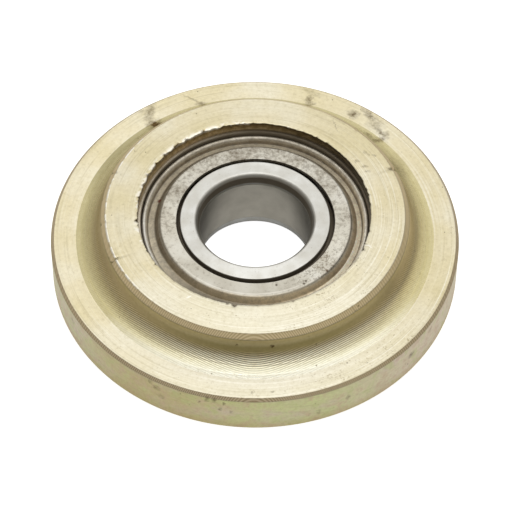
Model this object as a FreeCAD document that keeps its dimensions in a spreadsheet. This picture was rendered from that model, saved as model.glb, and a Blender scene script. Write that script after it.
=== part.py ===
import FreeCAD, Part
import math
import os
import Sketcher

# Chain tensioner idler: a turned disc with a hub on each side runs on a shielded ball bearing.
# Lengths in millimetres, +Z along the axle, Z = 0 on the lower hub face.
SIZES = (
    # turned roller body
    ("disc_diameter", 74.0),
    ("disc_thickness", 8.8),
    ("disc_chamfer", 0.5),
    ("hub_wall", 4.3),
    ("hub_height", 6.0),
    ("hub_chamfer", 0.9),
    ("hub_fillet", 4.1),
    ("lip_overlap", 2.4),
    ("lip_thickness", 2.0),
    ("mouth_chamfer", 0.5),
    # bearing envelope, shares are of the section height between bore and outside
    ("bearing_bore", 20.0),
    ("bearing_diameter", 47.0),
    ("bearing_width", 14.0),
    ("ring_corner", 1.0),
    ("bearing_press_gap", 0.01),
    # balls and raceways
    ("ball_count", 8),
    ("ball_share", 0.588),
    ("ball_play", 0.1),
    ("race_conformity", 1.04),
    # outer ring
    ("recess_wall_share", 0.237),
    ("recess_chamfer", 0.45),
    ("recess_chamfer_depth", 0.6),
    ("bead_groove_depth", 0.25),
    ("bead_groove_top", 1.2),
    ("shield_seat_width", 1.0),
    ("shield_seat_depth", 2.1),
    # inner ring
    ("inner_land_share", 0.326),
    ("inner_face_share", 0.2607),
    ("inner_edge_chamfer", 0.2),
    ("inner_notch_depth", 1.3),
    ("inner_notch_slope", 0.3),
    # pressed shields, widths measured inwards from the recess and depths from the ring face
    ("shield_sheet", 0.4),
    ("shield_fit_gap", 0.03),
    ("shield_bead_width", 0.58),
    ("shield_bead_top", 0.7),
    ("shield_bead_depth", 1.17),
    ("shield_channel_outer_width", 1.1),
    ("shield_channel_outer_depth", 1.64),
    ("shield_channel_inner_width", 1.9),
    ("shield_channel_inner_depth", 1.38),
    ("shield_flat_width", 3.25),
    ("shield_flat_depth", 0.2),
    ("shield_lip_width", 0.35),
    ("shield_lip_drop", 0.18),
    # riveted ribbon cage
    ("cage_sheet", 0.7),
    ("cage_inner_gap", 0.75),
    ("cage_outer_gap", 0.85),
    ("cage_ball_gap", 0.15),
    ("rivet_diameter", 1.5),
    ("rivet_hole_gap", 0.03),
    ("rivet_head_diameter", 2.4),
    ("rivet_head_height", 0.5),
    # internal retaining ring
    ("clip_thickness", 1.75),
    ("clip_edge", 2.95),
    ("clip_groove_depth", 1.25),
    ("clip_axial_gap", 0.1),
    ("clip_radial_gap", 0.05),
    ("clip_back_width", 4.4),
    ("clip_end_width", 3.2),
    ("clip_half_gap", 5.0),
    ("clip_lug_radius", 3.0),
    ("clip_lug_inset", 0.3),
    ("clip_hole_diameter", 2.5),
)


class Dim:
    """A length that carries its formula, so that every sketch and feature stays bound to the sheet."""

    def __init__(self, value, text):
        self.value = value
        self.text = text

    def joined(self, sign, other, value):
        right = other.text if isinstance(other, Dim) else repr(float(other))
        return Dim(value, "(" + self.text + " " + sign + " " + right + ")")

    def __add__(self, other):
        return self.joined("+", other, self.value + plain(other))

    def __sub__(self, other):
        return self.joined("-", other, self.value - plain(other))

    def __mul__(self, other):
        return self.joined("*", other, self.value * plain(other))

    def __truediv__(self, other):
        return self.joined("/", other, self.value / plain(other))


def plain(length):
    return length.value if isinstance(length, Dim) else float(length)


def side_of(hypotenuse, leg):
    """Third side of a right triangle."""
    inside = hypotenuse * hypotenuse - leg * leg
    return Dim(math.sqrt(inside.value), "sqrt" + inside.text)


def larger_of(first, second):
    return Dim(max(first.value, second.value), "max(" + first.text + "; " + second.text + ")")


doc = FreeCAD.newDocument("idler")
sheet = doc.addObject("Spreadsheet::Sheet", "Sizes")
size = {}
for row, (alias, value) in enumerate(SIZES, start=1):
    sheet.set("A%d" % row, alias)
    sheet.set("B%d" % row, str(value))
    sheet.setAlias("B%d" % row, alias)
    size[alias] = Dim(float(value), "Sizes." + alias)
doc.recompute()
balls = int(size["ball_count"].value)

# Heights and radii that several pieces share
width = size["bearing_width"]
clip_groove_width = size["clip_thickness"] + size["clip_axial_gap"]
bearing_stack = size["lip_thickness"] + width + clip_groove_width + size["clip_edge"]
upper_height = size["disc_thickness"] + size["hub_height"]
lower_hub_height = larger_of(size["hub_height"], bearing_stack - upper_height)
disc_top = lower_hub_height + size["disc_thickness"]
body_height = disc_top + size["hub_height"]
bearing_top = body_height - size["lip_thickness"]
bearing_bottom = bearing_top - width
bearing_middle = bearing_bottom + width / 2
bore_radius = size["bearing_bore"] / 2
outer_radius = size["bearing_diameter"] / 2
section = outer_radius - bore_radius
ball_radius = section * size["ball_share"] / 2
pitch_radius = (bore_radius + outer_radius) / 2
race_radius = ball_radius * size["race_conformity"]
recess_radius = outer_radius - section * size["recess_wall_share"]
outer_land = recess_radius - size["shield_seat_width"]
inner_land = bore_radius + section * size["inner_land_share"]
ZERO = Dim(0.0, "0")


def hold(target, kind, edge, vertex, length):
    """Hold one point of a sketch to its length from the axis or from the base line."""
    if length.value == 0:
        line = -2 if kind == "DistanceX" else -1
        target.addConstraint(Sketcher.Constraint("PointOnObject", edge, vertex, line))
        return
    number = target.addConstraint(Sketcher.Constraint(kind, -1, 1, edge, vertex, length.value))
    target.setExpression("Constraints[%d]" % number, length.text)


def new_body(label):
    body = doc.addObject("PartDesign::Body", label)
    body.Label = label
    return body


def origin_part(body, role):
    return next(feature for feature in body.Origin.OriginFeatures if feature.Role == role)


def new_sketch(body, name, role):
    sketch = body.newObject("Sketcher::SketchObject", name)
    sketch.AttachmentSupport = [(origin_part(body, role), "")]
    sketch.MapMode = "FlatFace"
    sketch.Visibility = False
    return sketch


def add_outline(sketch, points):
    """Closed straight-sided outline with every corner held to the sheet."""
    corners = [FreeCAD.Vector(across.value, up.value, 0) for across, up in points]
    first = sketch.GeometryCount
    for start, end in zip(corners, corners[1:] + corners[:1]):
        sketch.addGeometry(Part.LineSegment(start, end), False)
    for index in range(len(points)):
        following = first + (index + 1) % len(points)
        sketch.addConstraint(Sketcher.Constraint("Coincident", first + index, 2, following, 1))
    for index, (across, up) in enumerate(points):
        hold(sketch, "DistanceX", first + index, 1, across)
        hold(sketch, "DistanceY", first + index, 1, up)


def add_circle(sketch, across, up, radius):
    centre = FreeCAD.Vector(across.value, up.value, 0)
    circle = sketch.addGeometry(Part.Circle(centre, FreeCAD.Vector(0, 0, 1), radius.value), False)
    number = sketch.addConstraint(Sketcher.Constraint("Radius", circle, radius.value))
    sketch.setExpression("Constraints[%d]" % number, radius.text)
    hold(sketch, "DistanceX", circle, 3, across)
    hold(sketch, "DistanceY", circle, 3, up)


def turned(label, points):
    """Body turned about the axle from one closed outline."""
    body = new_body(label)
    profile = new_sketch(body, label + "_profile", "XZ_Plane")
    add_outline(profile, points)
    turn = body.newObject("PartDesign::Revolution", label + "_turn")
    turn.Profile = profile
    turn.ReferenceAxis = (profile, ["V_Axis"])
    turn.Angle = 360
    doc.recompute()
    return body


def cut_race(body, centre_radius, height, radius):
    profile = new_sketch(body, body.Label + "_race_profile", "XZ_Plane")
    add_circle(profile, centre_radius, height, radius)
    race = body.newObject("PartDesign::Groove", body.Label + "_race")
    race.Profile = profile
    race.ReferenceAxis = (profile, ["V_Axis"])
    race.Angle = 360
    doc.recompute()


def round_edges(body, name, radius, circles):
    """Round the full-circle edges found at the given radius and height."""
    base = body.Tip
    edges = []
    for number, edge in enumerate(base.Shape.Edges, start=1):
        if not isinstance(edge.Curve, Part.Circle):
            continue
        for ring, height in circles:
            same_radius = abs(edge.Curve.Radius - ring.value) < 1e-4
            same_height = abs(edge.Curve.Center.z - height.value) < 1e-4
            if same_radius and same_height:
                edges.append("Edge%d" % number)
    if len(edges) != len(circles):
        raise ValueError(name + ": edges to round not found")
    fillet = body.newObject("PartDesign::Fillet", name)
    fillet.Base = (base, edges)
    fillet.Radius = radius.value
    fillet.setExpression("Radius", radius.text)
    doc.recompute()


def pad(body, name, length):
    profile = new_sketch(body, name + "_profile", "XY_Plane")
    feature = body.newObject("PartDesign::Pad", name)
    feature.Profile = profile
    feature.Length = length.value
    feature.setExpression("Length", length.text)
    return profile


def cut_through(body, name):
    profile = new_sketch(body, name + "_profile", "XY_Plane")
    feature = body.newObject("PartDesign::Pocket", name)
    feature.Profile = profile
    feature.Type = "ThroughAll"
    feature.Midplane = True
    return profile


def repeat_round(body, name, feature):
    """Repeat a feature once per ball about the axle."""
    pattern = body.newObject("PartDesign::PolarPattern", name)
    pattern.Originals = [feature]
    pattern.Axis = (origin_part(body, "Z_Axis"), [""])
    pattern.Angle = 360
    pattern.Occurrences = balls
    pattern.setExpression("Occurrences", size["ball_count"].text)
    body.Tip = pattern
    doc.recompute()


def ball_sphere(body, kind, name, radius, lowest_angle):
    sphere = body.newObject(kind, name)
    sphere.Radius = radius.value
    sphere.setExpression("Radius", radius.text)
    sphere.Angle1 = lowest_angle
    sphere.setExpression("Placement.Base.x", pitch_radius.text)
    doc.recompute()
    return sphere


def place(piece, height, turned_over=False):
    if turned_over:
        piece.Placement = FreeCAD.Placement(
            FreeCAD.Vector(0, 0, 0), FreeCAD.Rotation(FreeCAD.Vector(1, 0, 0), 180)
        )
    piece.setExpression("Placement.Base.z", height.text)
    doc.recompute()


# Roller body: disc between two hubs, bearing pocket bored from below up to a thin lip
disc_radius = size["disc_diameter"] / 2
hub_radius = outer_radius + size["hub_wall"]
hub_face_radius = hub_radius - size["hub_chamfer"]
disc_face_radius = disc_radius - size["disc_chamfer"]
pocket_radius = outer_radius + size["bearing_press_gap"]
clip_groove_radius = outer_radius + size["clip_groove_depth"]
clip_groove_bottom = bearing_bottom - clip_groove_width
lip_radius = outer_radius - size["lip_overlap"]
roller = turned("roller_body", (
    (pocket_radius + size["mouth_chamfer"], ZERO),
    (hub_face_radius, ZERO),
    (hub_radius, size["hub_chamfer"]),
    (hub_radius, lower_hub_height),
    (disc_face_radius, lower_hub_height),
    (disc_radius, lower_hub_height + size["disc_chamfer"]),
    (disc_radius, disc_top - size["disc_chamfer"]),
    (disc_face_radius, disc_top),
    (hub_radius, disc_top),
    (hub_radius, body_height - size["hub_chamfer"]),
    (hub_face_radius, body_height),
    (lip_radius, body_height),
    (lip_radius, bearing_top),
    (pocket_radius, bearing_top),
    (pocket_radius, bearing_bottom),
    (clip_groove_radius, bearing_bottom),
    (clip_groove_radius, clip_groove_bottom),
    (pocket_radius, clip_groove_bottom),
    (pocket_radius, size["mouth_chamfer"]),
))
round_edges(roller, "hub_fillets", size["hub_fillet"], (
    (hub_radius, lower_hub_height),
    (hub_radius, disc_top),
))

# Outer ring: pressed into the pocket, raceway inside, a stepped recess at each end for a shield
recess_mouth = recess_radius + size["recess_chamfer"]
bead_groove = recess_radius + size["bead_groove_depth"]
bead_slope = size["bead_groove_top"] + size["bead_groove_depth"]
outer = turned("outer_ring", (
    (recess_mouth, ZERO),
    (outer_radius, ZERO),
    (outer_radius, width),
    (recess_mouth, width),
    (recess_radius, width - size["recess_chamfer_depth"]),
    (recess_radius, width - size["bead_groove_top"]),
    (bead_groove, width - bead_slope),
    (bead_groove, width - size["shield_seat_depth"]),
    (outer_land, width - size["shield_seat_depth"]),
    (outer_land, size["shield_seat_depth"]),
    (bead_groove, size["shield_seat_depth"]),
    (bead_groove, bead_slope),
    (recess_radius, size["bead_groove_top"]),
    (recess_radius, size["recess_chamfer_depth"]),
))
outer_race = pitch_radius + ball_radius + size["ball_play"]
cut_race(outer, outer_race - race_radius, width / 2, race_radius)
round_edges(outer, "outer_corners", size["ring_corner"], (
    (outer_radius, ZERO),
    (outer_radius, width),
))
place(outer, bearing_bottom)

# Inner ring: clamped on the axle, rounded bore ends, a notch beside each face under the shield edge
inner_face = bore_radius + section * size["inner_face_share"]
notch_end = size["inner_notch_depth"] + size["inner_notch_slope"]
inner = turned("inner_ring", (
    (bore_radius, ZERO),
    (inner_face - size["inner_edge_chamfer"], ZERO),
    (inner_face, size["inner_edge_chamfer"]),
    (inner_face, size["inner_notch_depth"]),
    (inner_land, notch_end),
    (inner_land, width - notch_end),
    (inner_face, width - size["inner_notch_depth"]),
    (inner_face, width - size["inner_edge_chamfer"]),
    (inner_face - size["inner_edge_chamfer"], width),
    (bore_radius, width),
))
inner_race = pitch_radius - ball_radius - size["ball_play"]
cut_race(inner, inner_race + race_radius, width / 2, race_radius)
round_edges(inner, "bore_corners", size["ring_corner"], (
    (bore_radius, ZERO),
    (bore_radius, width),
))
place(inner, bearing_bottom)


# Balls: one in each cage pocket
def make_ball(index):
    ball = doc.addObject("Part::Sphere", "ball_%d" % (index + 1))
    ball.Label = ball.Name
    ball.setExpression("Radius", ball_radius.text)
    turn = "(%d * 360 deg / Sizes.ball_count)" % index
    ball.setExpression("Placement.Base.x", pitch_radius.text + " * cos" + turn)
    ball.setExpression("Placement.Base.y", pitch_radius.text + " * sin" + turn)
    ball.setExpression("Placement.Base.z", bearing_middle.text)
    return ball


ball_set = [make_ball(index) for index in range(balls)]


# Cage halves: flat ribbon with a dome over every ball, riveted together between the balls
def on_rivet_circle(wave):
    """Place of the first rivet, half a step round from the first ball."""
    share = math.cos(math.pi / balls) if wave == "cos" else math.sin(math.pi / balls)
    text = "(" + pitch_radius.text + " * " + wave + "(180 deg / Sizes.ball_count))"
    return Dim(pitch_radius.value * share, text)


def make_cage_half(label, turned_over):
    body = new_body(label)
    cage_inner = inner_land + size["cage_inner_gap"]
    cage_outer = outer_land - size["cage_outer_gap"]
    pocket = ball_radius + size["cage_ball_gap"]
    dome = pocket + size["cage_sheet"]
    ribbon = pad(body, label + "_ribbon", size["cage_sheet"])
    add_circle(ribbon, ZERO, ZERO, cage_inner)
    add_circle(ribbon, ZERO, ZERO, cage_outer)
    doc.recompute()
    boss = ball_sphere(body, "PartDesign::AdditiveSphere", label + "_dome", dome, 0)
    repeat_round(body, label + "_domes", boss)
    trim_inside = cut_through(body, label + "_trim_inside")
    add_circle(trim_inside, ZERO, ZERO, cage_inner)
    doc.recompute()
    trim_outside = cut_through(body, label + "_trim_outside")
    add_circle(trim_outside, ZERO, ZERO, cage_outer)
    add_circle(trim_outside, ZERO, ZERO, size["bearing_diameter"])
    doc.recompute()
    hollow = ball_sphere(body, "PartDesign::SubtractiveSphere", label + "_pocket", pocket, -90)
    repeat_round(body, label + "_pockets", hollow)
    drilled = cut_through(body, label + "_rivet_hole")
    hole_radius = size["rivet_diameter"] / 2 + size["rivet_hole_gap"]
    add_circle(drilled, on_rivet_circle("cos"), on_rivet_circle("sin"), hole_radius)
    doc.recompute()
    repeat_round(body, label + "_rivet_holes", body.Tip)
    place(body, bearing_middle, turned_over)
    return body


cage_upper = make_cage_half("cage_upper", False)
cage_lower = make_cage_half("cage_lower", True)


# Cage rivets: a shank through both halves with a low head at each end
def add_rivet_disc(body, name, radius, bottom, length):
    disc = body.newObject("PartDesign::AdditiveCylinder", name)
    disc.setExpression("Radius", radius.text)
    disc.setExpression("Height", length.text)
    disc.setExpression("Placement.Base.x", on_rivet_circle("cos").text)
    disc.setExpression("Placement.Base.y", on_rivet_circle("sin").text)
    disc.setExpression("Placement.Base.z", bottom.text)
    doc.recompute()
    return disc


rivets = new_body("cage_rivets")
rivets.AllowCompound = True
head_top = size["cage_sheet"] + size["rivet_head_height"]
head_radius = size["rivet_head_diameter"] / 2
rivet_pieces = [
    add_rivet_disc(rivets, "rivet_shank", size["rivet_diameter"] / 2, ZERO - head_top, head_top * 2),
    add_rivet_disc(rivets, "rivet_head_upper", head_radius, size["cage_sheet"], size["rivet_head_height"]),
    add_rivet_disc(rivets, "rivet_head_lower", head_radius, ZERO - head_top, size["rivet_head_height"]),
]
rivet_ring = rivets.newObject("PartDesign::PolarPattern", "rivet_ring")
rivet_ring.Originals = rivet_pieces
rivet_ring.Axis = (origin_part(rivets, "Z_Axis"), [""])
rivet_ring.Angle = 360
rivet_ring.Occurrences = balls
rivet_ring.setExpression("Occurrences", size["ball_count"].text)
rivets.Tip = rivet_ring
place(rivets, bearing_middle)


# Shields: pressed sheet rings, the rim crimped into the outer ring, the inner edge clear of the inner ring
def make_shield(label, turned_over):
    sheet_metal = size["shield_sheet"]
    flat = recess_radius - size["shield_flat_width"]
    channel_inner = recess_radius - size["shield_channel_inner_width"]
    channel_outer = recess_radius - size["shield_channel_outer_width"]
    bead = recess_radius - size["shield_bead_width"]
    lip_edge = inner_land
    lip_bend = lip_edge + size["shield_lip_width"]
    flat_top = width - size["shield_flat_depth"]
    lip_top = flat_top - size["shield_lip_drop"]
    channel_inner_top = width - size["shield_channel_inner_depth"]
    channel_outer_top = width - size["shield_channel_outer_depth"]
    rim = recess_radius - size["shield_fit_gap"]
    rim_in_groove = bead_groove - size["shield_fit_gap"]
    rim_bottom = width - size["shield_seat_depth"] + size["shield_fit_gap"]
    groove_slope_foot = width - bead_slope - size["shield_fit_gap"]
    groove_slope_top = width - size["bead_groove_top"] - size["shield_fit_gap"]
    body = turned(label, (
        (lip_edge, lip_top - sheet_metal),
        (lip_bend - sheet_metal * 0.15, flat_top - sheet_metal),
        (flat - sheet_metal * 0.4, flat_top - sheet_metal),
        (channel_inner - sheet_metal * 0.4, channel_inner_top - sheet_metal),
        (channel_outer - sheet_metal * 0.4, rim_bottom),
        (rim_in_groove, rim_bottom),
        (rim_in_groove, groove_slope_foot),
        (rim, groove_slope_top),
        (rim, width - size["shield_bead_top"]),
        (bead, width - size["shield_bead_depth"]),
        (channel_outer, channel_outer_top),
        (channel_inner, channel_inner_top),
        (flat, flat_top),
        (lip_bend, flat_top),
        (lip_edge, lip_top),
    ))
    place(body, bearing_top if turned_over else bearing_bottom, turned_over)
    return body


shield_upper = make_shield("shield_upper", False)
shield_lower = make_shield("shield_lower", True)

# Retaining ring: sprung into the groove below the bearing, thinner towards its two pierced lugs
clip = new_body("retaining_ring")
clip_outer = clip_groove_radius - size["clip_radial_gap"]
clip_inner = clip_outer - (size["clip_back_width"] + size["clip_end_width"]) / 2
clip_shift = (size["clip_back_width"] - size["clip_end_width"]) / 2
lug_radius = size["clip_lug_radius"]
lug_across = size["clip_half_gap"] + lug_radius
lug_along = side_of(clip_outer - lug_radius - size["clip_lug_inset"], lug_across)
band = pad(clip, "clip_band", size["clip_thickness"])
add_circle(band, ZERO, ZERO, clip_outer)
add_circle(band, ZERO, clip_shift, clip_inner)
doc.recompute()
opening = cut_through(clip, "clip_opening")
opening_far = clip_outer + lug_radius
add_outline(opening, (
    (ZERO - lug_across, clip_inner / 2),
    (lug_across, clip_inner / 2),
    (lug_across, opening_far),
    (ZERO - lug_across, opening_far),
))
doc.recompute()
lugs = pad(clip, "clip_lugs", size["clip_thickness"])
holes = cut_through(clip, "clip_holes")
for side in (lug_across, ZERO - lug_across):
    add_circle(lugs, side, lug_along, lug_radius)
    add_circle(holes, side, lug_along, size["clip_hole_diameter"] / 2)
place(clip, bearing_bottom - size["clip_thickness"])

# Write every piece under its own name once all of them are sound
doc.recompute()
pieces = [roller, outer, inner, cage_upper, cage_lower, rivets, shield_upper, shield_lower, clip] + ball_set
for item in doc.Objects:
    if "Invalid" in item.State or "Error" in item.State:
        raise ValueError(item.Label + " did not build")
for piece in pieces:
    if piece.Shape.isNull() or not piece.Shape.isValid() or not piece.Shape.Solids:
        raise ValueError(piece.Label + " has no sound solid")
os.makedirs("parts", exist_ok=True)
for piece in pieces:
    piece.Shape.exportStep(os.path.join("parts", piece.Label + ".step"))
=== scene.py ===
import bpy
import bmesh
import math
import random
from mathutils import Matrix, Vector, noise


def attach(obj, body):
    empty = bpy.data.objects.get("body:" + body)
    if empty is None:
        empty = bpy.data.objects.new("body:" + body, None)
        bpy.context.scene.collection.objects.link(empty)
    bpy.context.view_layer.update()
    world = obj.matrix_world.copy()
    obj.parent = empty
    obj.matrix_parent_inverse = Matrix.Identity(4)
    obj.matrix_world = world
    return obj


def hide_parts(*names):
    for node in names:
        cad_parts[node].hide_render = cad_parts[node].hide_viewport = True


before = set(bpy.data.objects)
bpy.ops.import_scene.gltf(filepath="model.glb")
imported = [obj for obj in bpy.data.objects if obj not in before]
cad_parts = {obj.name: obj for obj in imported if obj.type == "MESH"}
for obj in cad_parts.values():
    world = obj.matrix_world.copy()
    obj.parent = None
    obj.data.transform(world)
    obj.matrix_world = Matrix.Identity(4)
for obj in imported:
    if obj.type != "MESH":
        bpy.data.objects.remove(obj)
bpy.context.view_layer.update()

# Inner ring of the ball bearing, which sits still on the tensioner's axle.
# Through-hardened bearing steel, turned, then ground on its faces and in its bore.
# Each mouth of the bore is eased by a short taper so that the axle enters freely.
MM = 0.001
BEARING_FOOT, BEARING_FACE = 4.8, 18.8
BEARING_MIDDLE = (BEARING_FOOT + BEARING_FACE) / 2


def linear(hex_colour):
    """sRGB hex to the linear colour that a socket takes."""
    channels = [int(hex_colour[place:place + 2], 16) / 255 for place in (1, 3, 5)]
    return [c / 12.92 if c <= 0.04045 else ((c + 0.055) / 1.055) ** 2.4 for c in channels] + [1.0]


def node(tree, kind, inputs=(), out=0, stops=None, **settings):
    """Add a shader node, link or fill its inputs and give that output; stops fill a colour ramp.

    Inputs come by name, or in the node's own order: a map range's are the value, the two ends
    that it comes from and the two that it goes to.
    """
    made = tree.nodes.new("ShaderNode" + kind)
    for name, value in settings.items():
        setattr(made, name, value)
    for key, value in inputs.items() if isinstance(inputs, dict) else enumerate(inputs):
        if isinstance(value, bpy.types.NodeSocket):
            tree.links.new(value, made.inputs[key])
        else:
            made.inputs[key].default_value = value
    if stops:
        ramp = made.color_ramp.elements
        while len(ramp) < len(stops):
            ramp.new(0.5)
        for element, (place, colour) in zip(ramp, stops):
            element.position = place
            element.color = linear(colour) if isinstance(colour, str) else (colour, colour, colour, 1)
    return made if out is None else made.outputs[out]


def new_metal(name, roughness):
    """Bare metal under that name, with the tree and the shader to build on."""
    metal = bpy.data.materials.new(name)
    metal.use_nodes = True
    tree = metal.node_tree
    tree.nodes.clear()
    shader = node(tree, "BsdfPrincipled", {"Metallic": 1.0, "Roughness": roughness}, None)
    node(tree, "OutputMaterial", {"Surface": shader.outputs[0]}, None)
    return metal, tree, shader


def turned_spot(tree):
    """Where a point lies on a turned piece, in millimetres from the lower hub face's centre."""
    local = node(tree, "TexCoord", out="Object")
    place = node(tree, "VectorMath", {0: local, "Scale": 1 / MM}, operation="SCALE")
    height = node(tree, "SeparateXYZ", (place,), "Z")
    level = node(tree, "VectorMath", (place, (1, 1, 0)), operation="MULTIPLY")
    radius = node(tree, "VectorMath", (level,), "Value", operation="LENGTH")
    heading = node(tree, "VectorMath", (level,), operation="NORMALIZE")
    section = node(tree, "CombineXYZ", {"X": height, "Z": radius})
    return {"place": place, "radius": radius, "height": height, "heading": heading, "section": section}


def side_of(tree, spot, x, y):
    """1 on the side of a turned piece that faces (x, y), falling to -1 on the opposite side."""
    return node(tree, "VectorMath", (spot["heading"], (x, y, 0)), "Value", operation="DOT_PRODUCT")


def ring_noise(tree, spot, patches, lines, detail=2.0):
    """Noise drawn out along the turning direction, by patches in a radian and lines in a millimetre."""
    across = node(tree, "VectorMath", {0: spot["section"], "Scale": lines}, operation="SCALE")
    where = node(tree, "VectorMath", (spot["heading"], (patches, patches, patches), across),
                 operation="MULTIPLY_ADD")
    return node(tree, "TexNoise", {"Vector": where, "Scale": 1.0, "Detail": detail})


def softened(corners, hold=0.12):
    """Closed outline with each corner rounded by its own radius and the flats beside it held straight."""
    outline = []
    for index, (r, z, radius) in enumerate(corners):
        here = Vector((r, z))
        if radius <= 0:
            outline.append((r, z))
            continue
        before = Vector(corners[index - 1][:2]) - here
        after = Vector(corners[(index + 1) % len(corners)][:2]) - here
        to_before, to_after = before.normalized(), after.normalized()
        half = to_before.angle(to_after) / 2
        reach = radius / math.tan(half)
        centre = here + (to_before + to_after).normalized() * (radius / math.sin(half))
        start, end = here + to_before * reach, here + to_after * reach
        if before.length - reach > 3 * hold:
            outline.append(tuple(start + to_before * hold))
        first, last = start - centre, end - centre
        turn = -first.angle_signed(last)
        steps = max(3, round(5 * radius))
        for step in range(steps + 1):
            angle = turn * step / steps
            spun = (first.x * math.cos(angle) - first.y * math.sin(angle),
                    first.x * math.sin(angle) + first.y * math.cos(angle))
            outline.append(tuple(centre + Vector(spun)))
        if after.length - reach > 3 * hold:
            outline.append(tuple(end + to_after * hold))
    return outline


def mirrored(half, middle):
    """Outline corners of a piece that is the same above and below its middle."""
    return tuple(half) + tuple((r, 2 * middle - z, radius) for r, z, radius in reversed(half))


def turned_piece(name, outline, steps, shape=None):
    """Ring turned from a closed outline in millimetres; shape may move a point by its angle."""
    work = bmesh.new()
    rings = []
    for step in range(steps):
        angle = 2 * math.pi * step / steps
        ring = []
        for r, z in outline:
            if shape:
                r, z = shape(angle, r, z)
            ring.append(work.verts.new((r * MM * math.cos(angle), r * MM * math.sin(angle), z * MM)))
        rings.append(ring)
    for step in range(steps):
        here, there = rings[step], rings[(step + 1) % steps]
        for index in range(len(outline)):
            after = (index + 1) % len(outline)
            work.faces.new((here[index], there[index], there[after], here[after]))
    bmesh.ops.recalc_face_normals(work, faces=work.faces)
    mesh = bpy.data.meshes.new(name)
    work.to_mesh(mesh)
    work.free()
    mesh.shade_smooth()
    piece = bpy.data.objects.new(name, mesh)
    bpy.context.scene.collection.objects.link(piece)
    return piece


inner_half = (
    (14.4, BEARING_FACE - 1.6, 0.1), (13.52, BEARING_FACE - 1.3, 0.1), (13.52, BEARING_FACE, 0.12),
    (10.76, BEARING_FACE, 0.5), (10.3, BEARING_FACE - 0.75, 0.7), (10.0, BEARING_FACE - 2.35, 0.12),
)
inner_ring = turned_piece("inner_ring_ground", softened(mirrored(inner_half, BEARING_MIDDLE)), 360)

# Ground bearing steel: bright grey with fine lines round it and faint handling spots, darker and less
# metallic where the rings drop away from their faces and paler again in the bore. Painted light makes
# the rings lighter on their near side; painted shade darkens the outer ring towards its right and the
# bore's wall except on its far side. A noise's scale is its patches in a millimetre: clouds of 3 mm,
# spots of 0.3 mm. The grinding lines, seven in a millimetre, are drawn coarser than real ones so that
# they show.
bearing_steel, tree, shader = new_metal("ground_bearing_steel", 0.3)
shader.inputs["Anisotropic"].default_value = 0.3
shader.inputs["Anisotropic Rotation"].default_value = 0.25
tree.links.new(node(tree, "Tangent", direction_type="RADIAL", axis="Z"), shader.inputs["Tangent"])
spot = turned_spot(tree)
lines = ring_noise(tree, spot, 2.5, 7.0)
cloud = node(tree, "TexNoise", {"Vector": spot["place"], "Scale": 0.35, "Detail": 4.0})
speck = node(tree, "TexNoise", {"Vector": spot["place"], "Scale": 3.4, "Detail": 3.0})
steel = node(tree, "ValToRGB", {"Fac": cloud}, stops=((0.3, "#c2c1bb"), (0.5, "#cbcbc7"), (0.7, "#d6d7d5")))
back = node(tree, "SeparateXYZ", (spot["heading"],), "Y")
# Painted light: the rings are lighter on their near side.
near_painted_light = node(tree, "MapRange", (back, -0.5, -0.95, 1.0, 1.14))
steel = node(tree, "VectorMath", {0: steel, "Scale": near_painted_light}, operation="SCALE")
spotted = node(tree, "MapRange", (speck, 0.62, 0.74, 0.0, 0.4))
steel = node(tree, "Mix", {0: spotted, 6: steel, 7: linear("#857c6c")}, 2, data_type="RGBA")
# Darker and less metallic where the rings drop away from their faces.
drop = node(tree, "Math", (spot["height"], BEARING_MIDDLE), operation="SUBTRACT")
drop = node(tree, "Math", (drop,), operation="ABSOLUTE")
start = node(tree, "MapRange", (spot["radius"], 11.5, 12.5, 6.88, 6.97))
full = node(tree, "MapRange", (spot["radius"], 11.5, 12.5, 6.2, 6.7))
recess_dark_and_shade = node(tree, "MapRange", (drop, start, full, 0.0, 0.95))
clear = node(tree, "MapRange", (spot["radius"], 10.03, 10.1))
recess_dark_and_shade = node(tree, "Math", (recess_dark_and_shade, clear), operation="MULTIPLY")
above = node(tree, "Math", (spot["height"], BEARING_MIDDLE), operation="GREATER_THAN")
away = node(tree, "Math", (spot["radius"], 12.0), operation="GREATER_THAN")
away = node(tree, "Math", (above, away), operation="MAXIMUM")
recess_dark_and_shade = node(tree, "Math", (recess_dark_and_shade, away), operation="MULTIPLY")
outside = node(tree, "Math", (spot["radius"], 18.0), operation="GREATER_THAN")
# Painted shade: the outer ring is darkened towards its right side.
dark_by_place = node(tree, "MapRange", (side_of(tree, spot, 0.95, 0.3), -1.0, 0.3, 0.0, 0.9))
dark_by_place = node(tree, "Math", (dark_by_place, outside), operation="MULTIPLY")
recess_dark_and_shade = node(tree, "Math", (recess_dark_and_shade, dark_by_place), operation="MAXIMUM")
in_bore = node(tree, "Math", (spot["radius"], 10.03), operation="LESS_THAN")
wall = node(tree, "ValToRGB", {"Fac": cloud}, stops=((0.35, "#b4b0a5"), (0.6, "#c0bcb1")))
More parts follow.
